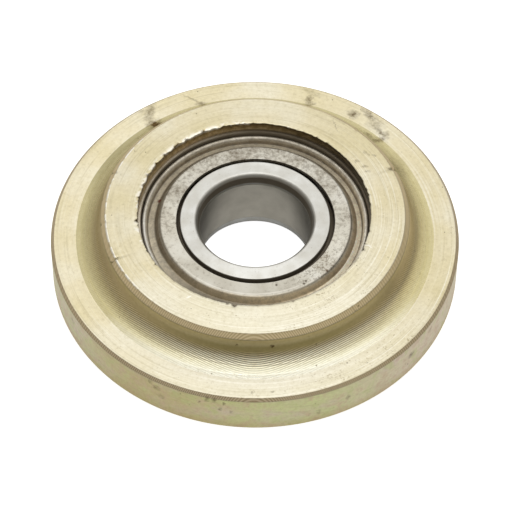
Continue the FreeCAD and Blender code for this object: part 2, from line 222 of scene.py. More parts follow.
# Painted shade: the bore's wall is darker except on its far side.
bore_side_shade = node(tree, "MapRange", (back, 0.35, 0.8, 0.67, 1.0))
wall = node(tree, "VectorMath", {0: wall, "Scale": bore_side_shade}, operation="SCALE")
steel = node(tree, "Mix", {0: in_bore, 6: steel, 7: wall}, 2, data_type="RGBA")
steel = node(tree, "Mix", {0: outside, 6: steel, 7: linear("#fff5e6")}, 2, data_type="RGBA",
             blend_type="MULTIPLY")
steel = node(tree, "Mix", {0: recess_dark_and_shade, 6: steel, 7: linear("#5f5545")}, 2, data_type="RGBA")
bare = node(tree, "MapRange", (recess_dark_and_shade, 0.0, 1.0, 1.0, 0.3))
tree.links.new(bare, shader.inputs["Metallic"])
dulled = node(tree, "MapRange", (lines, 0.0, 1.0, 0.26, 0.44))
relief = node(tree, "Bump", {"Height": lines, "Strength": 0.12, "Distance": 0.02 * MM})
for socket, value in (("Base Color", steel), ("Roughness", dulled), ("Normal", relief)):
    tree.links.new(value, shader.inputs[socket])
inner_ring.data.materials.append(bearing_steel)
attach(inner_ring, "inner_race")
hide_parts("inner_ring")

# Balls, eight of one size, lapped and polished from chrome steel.
# They roll between the two rings and carry the roller's load.

# Polished chrome steel: a mirror under a thin smear of grease, in patches of 2 mm.
ball_steel, tree, shader = new_metal("polished_chrome_steel", 0.12)
spot = turned_spot(tree)
smear = node(tree, "TexNoise", {"Vector": spot["place"], "Scale": 0.5, "Detail": 3.0})
film = node(tree, "ValToRGB", {"Fac": smear},
            stops=((0.35, "#c9c4b4"), (0.55, "#d9d8d4"), (0.75, "#e2e2e0")))
slick = node(tree, "MapRange", (smear, 0.0, 1.0, 0.22, 0.05))
for socket, value in (("Base Color", film), ("Roughness", slick)):
    tree.links.new(value, shader.inputs[socket])
for number in range(1, 9):
    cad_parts[f"ball_{number}"].material_slots[0].material = ball_steel

# Cage, two halves pressed from strip steel and riveted together between the balls.
# A dome in each half holds a ball at its place round the ring.

# Pressed strip steel: dull grey with a rolled grain of half a millimetre, brighter where drawn.
cage_steel, tree, shader = new_metal("pressed_strip_steel", 0.42)
spot = turned_spot(tree)
grain = node(tree, "TexNoise", {"Vector": spot["place"], "Scale": 1.8, "Detail": 5.0})
strip = node(tree, "ValToRGB", {"Fac": grain},
             stops=((0.3, "#8d877b"), (0.55, "#a7a49c"), (0.75, "#b9b6ae")))
drawn = node(tree, "MapRange", (grain, 0.0, 1.0, 0.55, 0.3))
relief = node(tree, "Bump", {"Height": grain, "Strength": 0.2, "Distance": 0.03 * MM})
for socket, value in (("Base Color", strip), ("Roughness", drawn), ("Normal", relief)):
    tree.links.new(value, shader.inputs[socket])
for half in ("cage_upper", "cage_lower"):
    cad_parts[half].material_slots[0].material = cage_steel

# Cage rivets, cut from soft steel wire.
# Each goes through both halves between two balls and is closed by a hammered head.

# Headed wire: plain grey, with hammer marks of 0.4 mm on the closed ends.
rivet_steel, tree, shader = new_metal("headed_rivet_wire", 0.4)
spot = turned_spot(tree)
blows = node(tree, "TexVoronoi", {"Vector": spot["place"], "Scale": 2.5})
wire = node(tree, "ValToRGB", {"Fac": blows}, stops=((0.1, "#9a968c"), (0.5, "#b3b0a8"), (0.8, "#c2c0b9")))
relief = node(tree, "Bump", {"Height": blows, "Strength": 0.3, "Distance": 0.05 * MM})
for socket, value in (("Base Color", wire), ("Normal", relief)):
    tree.links.new(value, shader.inputs[socket])
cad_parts["cage_rivets"].material_slots[0].material = rivet_steel

# Outer ring of the bearing, pressed into the roller body.
# The same ground steel as the inner ring, with a stepped recess at each end that takes a shield's
# crimped edge.
outer_half = (
    (19.3, BEARING_FACE - 2.1, 0.06), (20.55, BEARING_FACE - 2.1, 0.0), (20.55, BEARING_FACE - 1.45, 0.0),
    (20.52, BEARING_FACE - 1.2, 0.0), (20.62, BEARING_FACE - 0.2, 0.05), (20.72, BEARING_FACE, 0.06),
    (23.5, BEARING_FACE, 1.0),
)
outer_ring = turned_piece("outer_ring_ground", softened(mirrored(outer_half, BEARING_MIDDLE)), 360)
outer_ring.data.materials.append(bearing_steel)
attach(outer_ring, "roller")
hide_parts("outer_ring")

# Shields, one at each end of the bearing, pressed from thin steel sheet.
# The rim is curled and crimped into the outer ring, a channel runs inside it, and the flat
# ring then stops just short of the inner ring.
CURL_R, CURL_DEPTH, CURL_HIGH, CURL_IN, CURL_OUT = 20.06, 1.1, 0.48, 0.46, 0.41
curled_rim = [
    (CURL_R + (CURL_OUT if turn < 90 else CURL_IN) * math.cos(math.radians(turn)),
     CURL_DEPTH - CURL_HIGH * math.sin(math.radians(turn)), 0.0)
    for turn in range(170, -1, -17)
]
shield_section = (
    (14.27, 0.5, 0.05), (14.33, 0.2, 0.06), (17.19, 0.2, 0.45), (18.08, 1.3, 0.3), (19.4, 1.82, 0.08),
    *curled_rim,
    (20.47, 1.3, 0.0), (20.52, 1.48, 0.0), (20.52, 2.07, 0.0), (19.04, 2.07, 0.0), (18.0, 1.75, 0.0),
    (16.9, 0.6, 0.0), (14.6, 0.6, 0.0), (14.27, 0.8, 0.06),
)


def off_centre(angle, r, z):
    """Shield point moved a tenth of a millimetre off the axis, and more at the channel's right flank."""
    held = min(1.0, max(0.0, (19.4 - r) / 0.3))
    flank = max(0.0, 1 - abs(r - 18.08) / 0.7) * max(0.0, math.cos(angle + 0.3))
    return r + held * (0.1 * math.cos(angle) + 0.04 * math.sin(angle) + 0.2 * flank), z


# Pressed shield sheet: pale rolled steel under road dust, which lies brown on the channel's flanks,
# where painted shade darkens it too, and in small dark specks over the flat ring. Painted light and
# shade make the sheet lighter or darker by side. Clouds of 5 mm, grit of 0.8 mm and finer, flecks of 0.4
# mm.
shield_steel, tree, shader = new_metal("pressed_shield_sheet", 0.42)
spot = turned_spot(tree)
cloud = node(tree, "TexNoise", {"Vector": spot["place"], "Scale": 0.22, "Detail": 3.0})
grit = node(tree, "TexNoise", {"Vector": spot["place"], "Scale": 1.3, "Detail": 6.0, "Roughness": 0.78})
sheet = node(tree, "ValToRGB", {"Fac": cloud},
             stops=((0.35, "#cfcbbf"), (0.5, "#d9d6cb"), (0.65, "#e2e0d7")))
far_side = side_of(tree, spot, 0.15, 0.99)
dusty = node(tree, "Math", (far_side, 0.08, grit), operation="MULTIPLY_ADD")
dusty = node(tree, "Math", (cloud, -0.25, dusty), operation="MULTIPLY_ADD")
dusty = node(tree, "MapRange", (dusty, 0.36, 0.6, 0.0, 0.75))
sheet = node(tree, "Mix", {0: dusty, 6: sheet, 7: linear("#6f6250")}, 2, data_type="RGBA")
# Painted light and shade: the sheet is lighter or darker by side round the part.
side_shading = node(tree, "MapRange", (far_side, -1.0))
side_shading = node(tree, "ValToRGB", {"Fac": side_shading},
             stops=((0.0, 0.86), (0.3, 0.95), (0.42, 1.0), (0.58, 0.91), (1.0, 0.89)))
sheet = node(tree, "Mix", {0: 1.0, 6: sheet, 7: side_shading}, 2, data_type="RGBA", blend_type="MULTIPLY")
fleck = node(tree, "TexNoise", {"Vector": spot["place"], "Scale": 2.3, "Detail": 3.0, "Roughness": 0.8})
crowd = node(tree, "MapRange", (side_of(tree, spot, 0.75, -0.66), 0.88, 1.0, 0.0, 0.16))
fleck = node(tree, "Math", (fleck, crowd), operation="ADD")
fleck = node(tree, "MapRange", (fleck, 0.65, 0.73, 0.0, 0.6))
sheet = node(tree, "Mix", {0: fleck, 6: sheet, 7: linear("#6a5a42")}, 2, data_type="RGBA")

# Across the shield: 0 at the flat ring's edge, 1 at the curled rim, moved a little where the
# pressing is off centre.
across = node(tree, "MapRange", (spot["radius"], 16.6, 20.6))
near_side = node(tree, "MapRange", (far_side, -0.5, -0.95))
right_side = side_of(tree, spot, 0.866, -0.5)
sloping = node(tree, "MapRange", (spot["radius"], 18.8, 18.4))
moved = node(tree, "MapRange", (right_side, 0.3, 0.9, 0.0, -0.06))
moved = node(tree, "Math", (near_side, 0.07, moved), operation="MULTIPLY_ADD")
across = node(tree, "Math", (sloping, moved, across), operation="MULTIPLY_ADD")
# A painted highlight in front, along the edge where the flat ring meets the slope.
near_painted_light = node(tree, "MapRange", (spot["radius"], 16.3, 17.1))
near_painted_light = node(tree, "ValToRGB", {"Fac": near_painted_light}, stops=((0.25, 0.0), (0.5, 0.7), (0.75, 0.0)))
near_painted_light = node(tree, "Math", (near_painted_light, near_side), operation="MULTIPLY")
sheet = node(tree, "Mix", {0: near_painted_light, 6: sheet, 7: linear("#ebe8df")}, 2, data_type="RGBA")

# Dust on the slope, in the channel and on the curled rim, caked on the near side. Painted shade darkens
# the slope, the channel's flanks and its crease, and the near side more, and painted light makes the
# dust lighter towards the right.
dust_and_shade = node(tree, "ValToRGB", {"Fac": across},
            stops=((0.14, "#d8ceba"), (0.24, "#8f8068"), (0.37, "#74654e"), (0.43, "#e6dcc6"),
                   (0.65, "#e6dcc6"), (0.675, "#6e624f"), (0.73, "#7a6e5b"), (0.77, "#cfc7b8"),
                   (0.93, "#cdc5b6"), (0.98, "#8d8372")))
near_dust_and_shade = node(tree, "ValToRGB", {"Fac": across},
             stops=((0.14, "#e4dac6"), (0.24, "#cfbf9f"), (0.4, "#bba986"), (0.46, "#80745f"),
                    (0.98, "#5d5344")))
lying = node(tree, "ValToRGB", {"Fac": across},
             stops=((0.14, 0.0), (0.24, 0.85), (0.72, 0.85), (0.77, 0.5), (0.93, 0.5), (0.98, 0.9)))
dust_and_shade = node(tree, "Mix", {0: near_side, 6: dust_and_shade, 7: near_dust_and_shade}, 2, data_type="RGBA")
# Painted light: the dust is lighter towards the right, on the slope and on the rim.
right_light = node(tree, "ValToRGB", {"Fac": right_side},
               stops=((0.0, 0.39), (0.26, 0.43), (0.5, 0.5), (0.7, 0.62), (0.87, 0.76), (1.0, 0.95)))
right_light = node(tree, "Math", (right_light, 2.2), operation="MULTIPLY")
right_light_rim = node(tree, "MapRange", (right_side, 0.0, 0.9, 0.95, 1.4))
right_light = node(tree, "Mix", {0: sloping, 2: right_light_rim, 3: right_light}, data_type="FLOAT")
smear_and_right_light = node(tree, "TexNoise", {"Vector": spot["place"], "Scale": 0.9, "Detail": 6.0, "Roughness": 0.8})
smear_and_right_light = node(tree, "MapRange", (smear_and_right_light, 0.3, 0.7, 0.6, 1.4))
smear_and_right_light = node(tree, "Math", (smear_and_right_light, right_light), operation="MULTIPLY")
dust_and_shade = node(tree, "VectorMath", {0: dust_and_shade, "Scale": smear_and_right_light}, operation="SCALE")
# The bead's crown is whiter at the left.
left_crown_white = node(tree, "Math", (grit, -0.1, side_of(tree, spot, -0.985, -0.17)), operation="MULTIPLY_ADD")
left_crown_white = node(tree, "MapRange", (left_crown_white, 0.89, 0.93))
crown = node(tree, "ValToRGB", {"Fac": across}, stops=((0.78, 0.0), (0.82, 0.8), (0.9, 0.8), (0.94, 0.0)))
left_crown_white = node(tree, "Math", (left_crown_white, crown), operation="MULTIPLY")
dust_and_shade = node(tree, "Mix", {0: left_crown_white, 6: dust_and_shade, 7: linear("#f3f2ee")}, 2, data_type="RGBA")
lying = node(tree, "SeparateColor", (lying,))
sheet = node(tree, "Mix", {0: lying, 6: sheet, 7: dust_and_shade}, 2, data_type="RGBA")

# A spot of rust on the slope and a few dark pits, each by its centre, reach and colour.
for centre, reach, colour in (
        ((-17.35, 5.15, 17.45), 0.55, "#6b2f1e"), ((8.75, -14.3, 18.6), 0.32, "#4f4434"),
        ((9.1, -13.7, 18.6), 0.3, "#4f4434"), ((3.87, -14.65, 18.6), 0.28, "#4a3f31"),
        ((12.85, -11.33, 18.55), 0.35, "#5a4630")):
    pit = node(tree, "VectorMath", (spot["place"], centre), "Value", operation="DISTANCE")
    pit = node(tree, "MapRange", (pit, reach, 0.45 * reach, 0.0, 0.85))
    sheet = node(tree, "Mix", {0: pit, 6: sheet, 7: linear(colour)}, 2, data_type="RGBA")
bare = node(tree, "MapRange", (lying, 0.0, 1.0, 1.0, 0.45))
tree.links.new(bare, shader.inputs["Metallic"])
matt = node(tree, "MapRange", (grit, 0.0, 1.0, 0.3, 0.6))
relief = node(tree, "Bump", {"Height": grit, "Strength": 0.25, "Distance": 0.03 * MM})
for socket, value in (("Base Color", sheet), ("Roughness", matt), ("Normal", relief)):
    tree.links.new(value, shader.inputs[socket])
for name, face, inward in (("upper", BEARING_FACE, -1), ("lower", BEARING_FOOT, 1)):
    profile = [(r, face + inward * depth, radius) for r, depth, radius in shield_section]
    shield = turned_piece("shield_sheet_" + name, softened(profile, 0.06), 360, off_centre)
    shield.data.materials.append(shield_steel)
    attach(shield, "roller")
    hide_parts("shield_" + name)

# Roller body, turned from one steel bar, then zinc plated and yellow passivated.
# A round-nosed tool left close grooves in the fillets, the bearing's lip kept its burr, and use
# has dented the disc and nicked the hub.
DISC_R, DISC_FOOT, DISC_FACE = 36.98, 6.0, 14.8
DISC_MIDDLE = (DISC_FOOT + DISC_FACE) / 2
HUB_R, HUB_FACE = 27.8, 20.8
LIP_R, POCKET_R = 21.1, 23.51
FILLET_R, FILLET_START = 4.1, 32.4
GROOVE_PITCH, GROOVE_DEPTH, GROOVE_STEPS = 0.54, 0.009, 5
HUB_CHAMFER, DISC_CHAMFER = 0.9, 0.58
CLIP_GROOVE_R, CLIP_GROOVE_FOOT = 24.75, BEARING_FOOT - 1.85
random.seed(7)


def grooved_fillet():
    """Fillet from the disc's upper face to the hub, with the round-nosed tool's grooves in it."""
    heart_r, heart_z = HUB_R + FILLET_R, DISC_FACE + FILLET_R
    flat_run = FILLET_START - heart_r
    length = flat_run + FILLET_R * math.pi / 2
    count = round(length / GROOVE_PITCH) * GROOVE_STEPS
    corners = []
    for step in range(count):
        along = length * step / count
        if step % GROOVE_STEPS == 0:
            depth = GROOVE_DEPTH * random.uniform(0.85, 1.15)
        faded = min(1.0, along, max(0.0, 2.2 - 2.6 * along / length))
        sunk = depth * (1 - math.cos(2 * math.pi * step / GROOVE_STEPS)) * faded
        if along < flat_run:
            corners.append((FILLET_START - along, DISC_FACE - sunk, 0.0))
        else:
            tilt = (along - flat_run) / FILLET_R
            reach = FILLET_R + sunk
            corners.append((heart_r - reach * math.sin(tilt), heart_z - reach * math.cos(tilt), 0.0))
    return corners


# Chips in the lip and nicks in the hub's edge, each by its place in degrees, half width and depth.
lip_chips = (
    (185.5, 1.7, 0.35), (188.5, 1.0, 0.2), (260.5, 1.9, 0.4), (257.0, 1.0, 0.15), (126.5, 1.3, 0.55),
    (131.5, 1.0, 0.3), (117.0, 1.4, 0.25), (106.0, 1.0, 0.2), (141.0, 1.2, 0.22), (148.0, 1.0, 0.25),
    (156.0, 1.2, 0.2), (163.0, 0.9, 0.25), (171.0, 1.0, 0.2), (68.5, 1.2, -0.25), (58.0, 1.0, 0.2),
    (52.0, 0.9, 0.15), (340.6, 1.0, -0.3), (337.0, 1.2, 0.25), (331.0, 0.8, 0.15), (205.0, 1.0, 0.15),
    (214.0, 0.8, 0.2), (289.0, 1.0, 0.12), (12.0, 1.0, 0.15))
hub_nicks = (
    (203.4, 0.55, 0.4), (201.0, 0.45, 0.2), (185.0, 0.6, 0.25), (22.9, 0.7, 0.4), (47.0, 0.9, 0.12),
    (141.0, 0.5, 0.15), (160.0, 0.5, 0.2), (173.0, 0.5, 0.15), (228.0, 0.6, 0.1), (310.0, 0.6, 0.12))


def worn(angle, r, z):
    """Body point moved by the lip's tears and chips, the hub's nicks and the fading of the grooves."""
    turn = math.degrees(angle)
    heart = Vector((HUB_R + FILLET_R, DISC_FACE + FILLET_R))
    kept = 0.12 + 0.88 * max(0.0, -math.sin(angle)) ** 3
    if heart.x <= r < FILLET_START and abs(z - DISC_FACE) < 0.1:
        z = DISC_FACE - (DISC_FACE - z) * kept
    elif HUB_R - 0.1 < r < heart.x and DISC_FACE - 0.1 < z < heart.y:
        arm = Vector((r, z)) - heart
        r, z = heart + arm.normalized() * (FILLET_R + (arm.length - FILLET_R) * kept)
    elif r < 22.25 and z > BEARING_FACE + 0.05:
        rough = 0.5 + 0.5 * max(0.0, math.cos(angle - math.radians(125)))
        tear = 0.0
        for waves, size in ((9, 0.12), (24, 0.22), (60, 0.12)):
            tear += rough * size * noise.noise((waves * math.cos(angle), waves * math.sin(angle), waves))
        for place, width, depth in lip_chips:
            tear += depth * max(0.0, 1 - abs(turn - place) / width)
        from_lip = max(0.0, 1 - (r - LIP_R) / 1.1)
        off_true = -0.15 - 0.16 * math.cos(angle) + 0.13 * math.sin(angle)
        depth_below = HUB_FACE - z
        if depth_below < 0.1:
            z -= 0.5 * abs(tear) * max(0.0, 1 - (r - LIP_R) / 0.6)
        r += (off_true + tear * max(0.12, 1 - depth_below / 0.9)) * from_lip
    elif 26.5 < r < HUB_R + 0.1 and z > HUB_FACE - 1.0:
        for place, width, depth in hub_nicks:
            dent = depth * max(0.0, 1 - abs(turn - place) / width)
            r -= dent
            z -= 0.5 * dent
    return r, z


body_corners = [
    (POCKET_R + 0.5, 0.0, 0.08), (HUB_R - HUB_CHAMFER, 0.0, 0.1), (HUB_R, HUB_CHAMFER, 0.1),
    (HUB_R, DISC_FOOT, FILLET_R), (DISC_R - DISC_CHAMFER, DISC_FOOT, 0.08),
    (DISC_R, DISC_FOOT + DISC_CHAMFER, 0.08), (DISC_R, DISC_FACE - DISC_CHAMFER, 0.08),
    (DISC_R - DISC_CHAMFER, DISC_FACE, 0.08),
]
body_corners += grooved_fillet()
body_corners += [
    (HUB_R, HUB_FACE - HUB_CHAMFER, 0.1), (HUB_R - HUB_CHAMFER, HUB_FACE, 0.1),
    (HUB_R - 1.5, HUB_FACE, 0.0),
    (22.2, HUB_FACE, 0.0), (21.8, HUB_FACE, 0.0), (21.45, HUB_FACE, 0.0), (LIP_R + 0.08, HUB_FACE, 0.0),
    (LIP_R, HUB_FACE - 0.05, 0.0), (LIP_R, HUB_FACE - 0.3, 0.0), (LIP_R, HUB_FACE - 0.8, 0.0),
    (LIP_R, BEARING_FACE + 0.3, 0.0), (LIP_R, BEARING_FACE, 0.0), (POCKET_R, BEARING_FACE, 0.0),
    (POCKET_R, BEARING_FOOT, 0.0), (CLIP_GROOVE_R, BEARING_FOOT, 0.0),
    (CLIP_GROOVE_R, CLIP_GROOVE_FOOT, 0.0),
    (POCKET_R, CLIP_GROOVE_FOOT, 0.0), (POCKET_R, 0.5, 0.06),
]
roller_body = turned_piece("roller_body_turned", softened(body_corners), 540, worn)

# Yellow zinc on turned steel: cream on the flat faces, olive in the grooved fillets and patchy green
# and rose on the rim, with fine lines round it, dark specks and scuffs, brown grime in the pocket and
# bare white metal on the burr and along worn edges. Painted light and shade lie over these colours, by
# side round the part and by height, with painted highlights in front of the fillet and on the burr.
# Clouds of 11 mm, mottling of 0.6 mm; the lines, two to five in a millimetre, are drawn coarser than
# real ones to show.
zinc_steel, tree, shader = new_metal("yellow_zinc_on_turned_steel", 0.4)
shader.inputs["Anisotropic"].default_value = 0.6
shader.inputs["Anisotropic Rotation"].default_value = 0.25
tree.links.new(node(tree, "Tangent", direction_type="RADIAL", axis="Z"), shader.inputs["Tangent"])
spot = turned_spot(tree)
rise = node(tree, "Math", (spot["height"], DISC_MIDDLE), operation="SUBTRACT")
rise = node(tree, "Math", (rise,), operation="ABSOLUTE")


def within(radii, rises, soft=0.05):
    """1 where the body lies between these radii and these heights from its middle, 0 elsewhere."""
    share = 1.0
    for value, (low, high) in ((spot["radius"], radii), (rise, rises)):
        for edge, side in ((low, soft), (high, -soft)):
            past = node(tree, "MapRange", (value, edge - side, edge + side))
            share = node(tree, "Math", (share, past), operation="MULTIPLY")
    return share


on_rim = within((36.42, 38.0), (-1.0, 3.85))
on_disc_edge = within((36.42, 38.0), (3.85, 5.0))
on_hub_edge = within((26.93, 28.5), (9.5, 11.0))
in_fillet = within((25.2, FILLET_START), (4.0, 9.5))
in_pocket = within((0.0, 24.95), (-1.0, 10.33))
lines = node(tree, "Math", (ring_noise(tree, spot, 3.0, 5.0), ring_noise(tree, spot, 1.6, 1.9)),
             operation="ADD")
lines = node(tree, "Math", (lines, 0.5), operation="MULTIPLY")
cloud = node(tree, "TexNoise", {"Vector": spot["place"], "Scale": 0.09, "Detail": 4.0})
mottle = node(tree, "TexNoise", {"Vector": spot["place"], "Scale": 1.6, "Detail": 5.0, "Roughness": 0.7})
coat = node(tree, "ValToRGB", {"Fac": cloud},
            stops=((0.35, "#e3dab8"), (0.5, "#e8e0c4"), (0.65, "#ede8d4")))

# Fillet, from its foot on the disc, 0, to the hub's chamfer, 1: olive at the sides, paler in front.
# Its colours hold painted light and shade that change up the fillet; in front a painted lit copy takes
# over, painted light makes the right side lighter, painted shade darkens the foot at the far left, and
# the upper wall is lighter or darker by side.
climb = node(tree, "MapRange", (rise, 4.4, 9.5))
fillet_colour_and_shade = node(tree, "ValToRGB", {"Fac": climb},
             stops=((0.0, "#bcb48e"), (0.008, "#c9c094"), (0.024, "#e5dcaf"), (0.06, "#ebe0b1"),
                    (0.1, "#e7dcac"), (0.145, "#ddd0a2"), (0.235, "#c6b891"), (0.34, "#cabb92"),
                    (0.46, "#d2c39c"), (0.6, "#d9caa3"), (0.84, "#dfd2a9"), (0.96, "#d8cb9e"),
                    (1.0, "#8f8258")))
front_lit_fillet = node(tree, "ValToRGB", {"Fac": climb},
            stops=((0.0, "#f1f1e6"), (0.008, "#e3e2d2"), (0.024, "#cfcdbb"), (0.06, "#cbc8b3"),
                   (0.1, "#cfcbb6"), (0.145, "#dcd7c3"), (0.235, "#dbd5bf"), (0.34, "#bbb193"),
                   (0.46, "#aea275"), (0.6, "#aa9f72"), (0.73, "#c9be97"), (0.96, "#d2c598"),
                   (1.0, "#8f8258")))
facing = node(tree, "MapRange", (side_of(tree, spot, 0.08, -0.997), 0.5, 0.97))
fillet_colour_and_shade = node(tree, "Mix", {0: facing, 6: fillet_colour_and_shade, 7: front_lit_fillet}, 2, data_type="RGBA")
compass = node(tree, "SeparateXYZ", (spot["heading"],), None).outputs
sunny = node(tree, "MapRange", (compass["X"], 0.3, 0.95, 1.0, 1.12))
dusky = node(tree, "MapRange", (side_of(tree, spot, -0.82, 0.57), 0.94, 1.0, 0.0, 0.22))
at_foot = node(tree, "MapRange", (climb, 0.03, 0.005))
dusky = node(tree, "Math", (dusky, at_foot), operation="MULTIPLY")
sunny = node(tree, "Math", (sunny, dusky), operation="SUBTRACT")
wall_side_light = node(tree, "MapRange", (compass["X"], -1.0))
wall_side_light = node(tree, "ValToRGB", {"Fac": wall_side_light},
              stops=((0.0, 0.74), (0.02, 0.7), (0.09, 0.79), (0.215, 0.88), (0.37, 0.84), (0.5, 0.8),
                     (0.63, 0.9), (0.75, 0.9), (0.85, 0.88), (0.93, 0.69), (0.983, 0.86), (1.0, 0.94)))
wall_side_light = node(tree, "Math", (wall_side_light, 1.25), operation="MULTIPLY")
upright = node(tree, "MapRange", (climb, 0.25, 0.45))
sunny = node(tree, "Mix", {0: upright, 2: sunny, 3: wall_side_light}, data_type="FLOAT")

# Marks of the round-nosed tool, which cross into bowed bands; a real mark is about 0.1 mm wide, and
# the bands are drawn coarser than that, half a millimetre apart, so that they show. In front the bands
# are painted highlight and shade of the grooves, and they scale the fillet's colour together with its
# painted side light.
axes = node(tree, "SeparateXYZ", (spot["place"],), None).outputs
sideways = node(tree, "Math", (axes["X"], axes["X"], 25.0), operation="MULTIPLY_ADD")
sideways = node(tree, "Math", (sideways,), operation="SQRT")
tool_bands_and_light = node(tree, "Math", (sideways, 9.0), operation="MULTIPLY")
for part, rate in (("Y", -13.4), ("Z", -10.5)):
    tool_bands_and_light = node(tree, "Math", (axes[part], rate, tool_bands_and_light), operation="MULTIPLY_ADD")
tool_bands_and_light = node(tree, "Math", (tool_bands_and_light,), operation="SINE")
band_highlight_strength = node(tree, "ValToRGB", {"Fac": climb},
              stops=((0.003, 0.1), (0.02, 0.2), (0.05, 0.32), (0.12, 0.6), (0.3, 0.78), (0.4, 0.4),
                     (0.48, 0.0)))
broad = node(tree, "MapRange", (compass["Y"], 0.0, -0.95))
band_highlight_strength = node(tree, "Math", (band_highlight_strength, broad), operation="MULTIPLY")
tool_bands_and_light = node(tree, "Math", (tool_bands_and_light, band_highlight_strength, sunny), operation="MULTIPLY_ADD")
shaded = node(tree, "MapRange", (facing, 0.0, 1.0, 1.0, 0.85))
fillet_colour_and_shade = node(tree, "VectorMath", {0: fillet_colour_and_shade, "Scale": tool_bands_and_light}, operation="SCALE")

# Flat faces: painted light makes them paler in front and lighter at the disc's left, and painted
# shade a little darker at the far side of the hub.
facing = node(tree, "Math", (facing, 0.6), operation="MULTIPLY")
coat = node(tree, "Mix", {0: facing, 6: coat, 7: linear("#eeecdf")}, 2, data_type="RGBA")
hub_side = node(tree, "MapRange", (compass["Y"], -0.2, 0.9, 1.0, 0.94))
disc_side = node(tree, "MapRange", (compass["X"], -0.3, -0.9, 1.0, 1.07))
side_shading = node(tree, "Mix", {0: climb, 2: disc_side, 3: hub_side}, data_type="FLOAT")
coat = node(tree, "VectorMath", {0: coat, "Scale": side_shading}, operation="SCALE")

# Chamfers of the hub and the disc: fine turning marks, again drawn coarser, with painted light between
# painted shade at their edges, a little dimmer in front; the disc's chamfer is a darker, shaded copy.
edges = []
for rate, foot, top, dark, light in ((19.0, 9.5, 10.412, "#bdaa82", "#f1e2bf"),
                                     (20.0, 3.84, 4.42, "#a08e70", "#e0d2b6")):
    hatch = node(tree, "Math", (sideways, rate), operation="MULTIPLY")
    hatch = node(tree, "Math", (rise, 14.0, hatch), operation="MULTIPLY_ADD")
    hatch = node(tree, "Math", (hatch,), operation="SINE")
    hatch = node(tree, "Math", (hatch, broad), operation="MULTIPLY")
    hatch = node(tree, "Math", (hatch, 0.45, 0.5), operation="MULTIPLY_ADD")
    hatch = node(tree, "Math", (mottle, 1.5, hatch), operation="MULTIPLY_ADD")
    hatch = node(tree, "MapRange", (hatch, 0.6, 1.9))
    edge = node(tree, "Mix", {0: hatch, 6: linear(dark), 7: linear(light)}, 2, data_type="RGBA")
    bright = node(tree, "MapRange", (rise, foot, top))
    bright = node(tree, "ValToRGB", {"Fac": bright},
                  stops=((0.0, 0.6), (0.2, 0.95), (0.7, 0.95), (1.0, 0.7)))
    bright = node(tree, "Math", (bright, shaded), operation="MULTIPLY")
    bright = node(tree, "Math", (bright, 1.25), operation="MULTIPLY")
    edges.append(node(tree, "VectorMath", {0: edge, "Scale": bright}, operation="SCALE"))
hub_edge, shaded_disc_edge = edges

# Rim: the passivation's green and rose in clouds of 9 mm and blotches of 3 mm, with drag marks round it.
patch = node(tree, "Mapping", {"Vector": spot["place"], "Scale": (0.07, 0.07, 0.16)})
patch = node(tree, "TexNoise", {"Vector": patch, "Scale": 1.6, "Detail": 6.0, "Roughness": 0.6})
rim = node(tree, "ValToRGB", {"Fac": patch},
           stops=((0.33, "#dfd2c3"), (0.44, "#ddd5bc"), (0.55, "#dcdcb7"), (0.66, "#ded6c2")))
for x, y, colour in ((-0.42, -0.91, "#cfc290"), (0.28, -0.96, "#dae0a8"), (0.82, -0.57, "#e7d9ca")):
    side = node(tree, "Math", (patch, 0.6, side_of(tree, spot, x, y)), operation="MULTIPLY_ADD")
    side = node(tree, "MapRange", (side, 1.12, 1.34, 0.0, 0.8))
    rim = node(tree, "Mix", {0: side, 6: rim, 7: linear(colour)}, 2, data_type="RGBA")
dragged = node(tree, "MapRange", (ring_noise(tree, spot, 16.0, 2.2, 5.0), 0.54, 0.72, 0.0, 0.15))
blotch = node(tree, "TexNoise", {"Vector": spot["place"], "Scale": 0.36, "Detail": 7.0, "Roughness": 0.72})
rosy = node(tree, "MapRange", (blotch, 0.51, 0.62, 0.0, 0.6))
mossy = node(tree, "MapRange", (blotch, 0.48, 0.38, 0.0, 0.6))
# Painted shade browns the rim towards its lower edge.
low_edge_shade = node(tree, "MapRange", (spot["height"], 8.6, 6.8, 0.0, 0.4))
for share, colour in ((dragged, "#a59877"), (rosy, "#d5bea5"), (mossy, "#ccd297"), (low_edge_shade, "#cfb585")):
    rim = node(tree, "Mix", {0: share, 6: rim, 7: linear(colour)}, 2, data_type="RGBA")
# Painted light makes the rim a little lighter round its middle height.
rim_middle_light = node(tree, "MapRange", (rise, 1.8, 3.9, 1.03, 0.99))
rim = node(tree, "VectorMath", {0: rim, "Scale": rim_middle_light}, operation="SCALE")

# Each region's colour laid over the flat faces' coat: a white painted highlight in front of the fillet,
# and grime on the pocket's wall under painted shade, darker to the right and lighter at the far side.
front_highlight = node(tree, "Math", (facing, facing), operation="MULTIPLY")
front_highlight = node(tree, "Math", (within((31.5, 34.3), (4.0, 4.7), 0.9), front_highlight), operation="MULTIPLY")
# Painted shade on the pocket's wall: darker to the right, lighter at the far side.
grime_and_shade = node(tree, "MapRange", (compass["X"], -0.8, 0.8, 1.36, 0.28))
far_wall_light = node(tree, "MapRange", (compass["Y"], 0.0, 1.0, 1.0, 1.7))
grime_and_shade = node(tree, "Math", (grime_and_shade, far_wall_light), operation="MULTIPLY")
